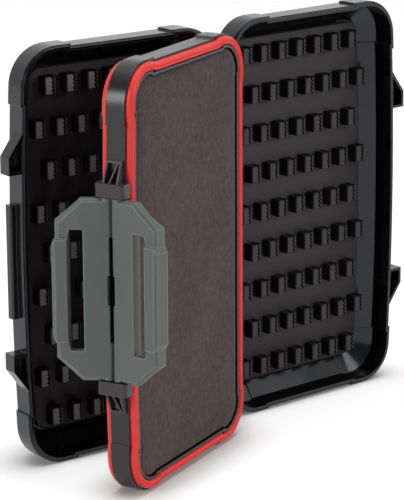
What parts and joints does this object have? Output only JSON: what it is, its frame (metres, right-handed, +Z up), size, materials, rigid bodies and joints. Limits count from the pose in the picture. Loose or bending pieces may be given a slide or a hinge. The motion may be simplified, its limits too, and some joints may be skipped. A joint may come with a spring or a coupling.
{
  "type": "fishing jig box",
  "caption": "Upright two-sided waterproof jig box standing open: a foam-lined middle leaf with soft seals, shallow shells hinged on each side of it with slotted lure sheets, and a two-wing latch.",
  "frame": {"origin": "middle of the open box's footprint, on the plane that it stands on", "axes": "+Z up along the hinge axis; +X toward the right shell; +Y toward the backs of the two shells, so that the open trays face -Y and the middle leaf swings out toward -X and -Y"},
  "size_m": [0.2382, 0.1058, 0.19],
  "materials": {
    "shell_plastic": "near-black moulded plastic, smooth with a soft sheen",
    "bracket_plastic": "dark grey moulded plastic",
    "latch_plastic": "grey-green moulded plastic",
    "seal": "soft red seal, slightly glossy",
    "foam": "dense brown-grey foam, fine upright grain",
    "slot_sheet": "dark grey soft sheet, matt",
    "pin_steel": "plain steel wire pin"
  },
  "bodies": {
    "middle_leaf": {"leaf_frame": "shell_plastic", "leaf_panel": "shell_plastic", "left_foam_pad": "foam", "right_foam_pad": "foam", "left_seal": "seal", "right_seal": "seal", "latch_bracket_upper": "bracket_plastic", "latch_bracket_lower": "bracket_plastic", "latch_pin_left": "pin_steel", "latch_pin_right": "pin_steel", "hinge_pin_upper": "pin_steel", "hinge_pin_lower": "pin_steel"},
    "right_tray": {"right_shell": "shell_plastic", "right_slot_sheet": "slot_sheet"},
    "left_tray": {"left_shell": "shell_plastic", "left_slot_sheet": "slot_sheet"},
    "right_latch": {"latch_wing_right": "latch_plastic"},
    "left_latch": {"latch_wing_left": "latch_plastic"}
  },
  "joints": [
    {"name": "right_shell_hinge", "type": "hinge", "parent": "middle_leaf", "child": "right_tray", "pos_m": [0.00372, 0.02059, 0.095], "axis": [0, 0, 1], "range_deg": [-158.2, 2.8]},
    {"name": "left_shell_hinge", "type": "hinge", "parent": "middle_leaf", "child": "left_tray", "pos_m": [0.00372, 0.02059, 0.095], "axis": [0, 0, 1], "range_deg": [-15.36, 25.6]},
    {"name": "right_latch_pivot", "type": "hinge", "parent": "middle_leaf", "child": "right_latch", "pos_m": [-0.09703, -0.02953, 0.095], "axis": [0, 0, 1], "range_deg": [-68, 12]},
    {"name": "left_latch_pivot", "type": "hinge", "parent": "middle_leaf", "child": "left_latch", "pos_m": [-0.09907, -0.02519, 0.095], "axis": [0, 0, 1], "range_deg": [-28, 52]}
  ]
}
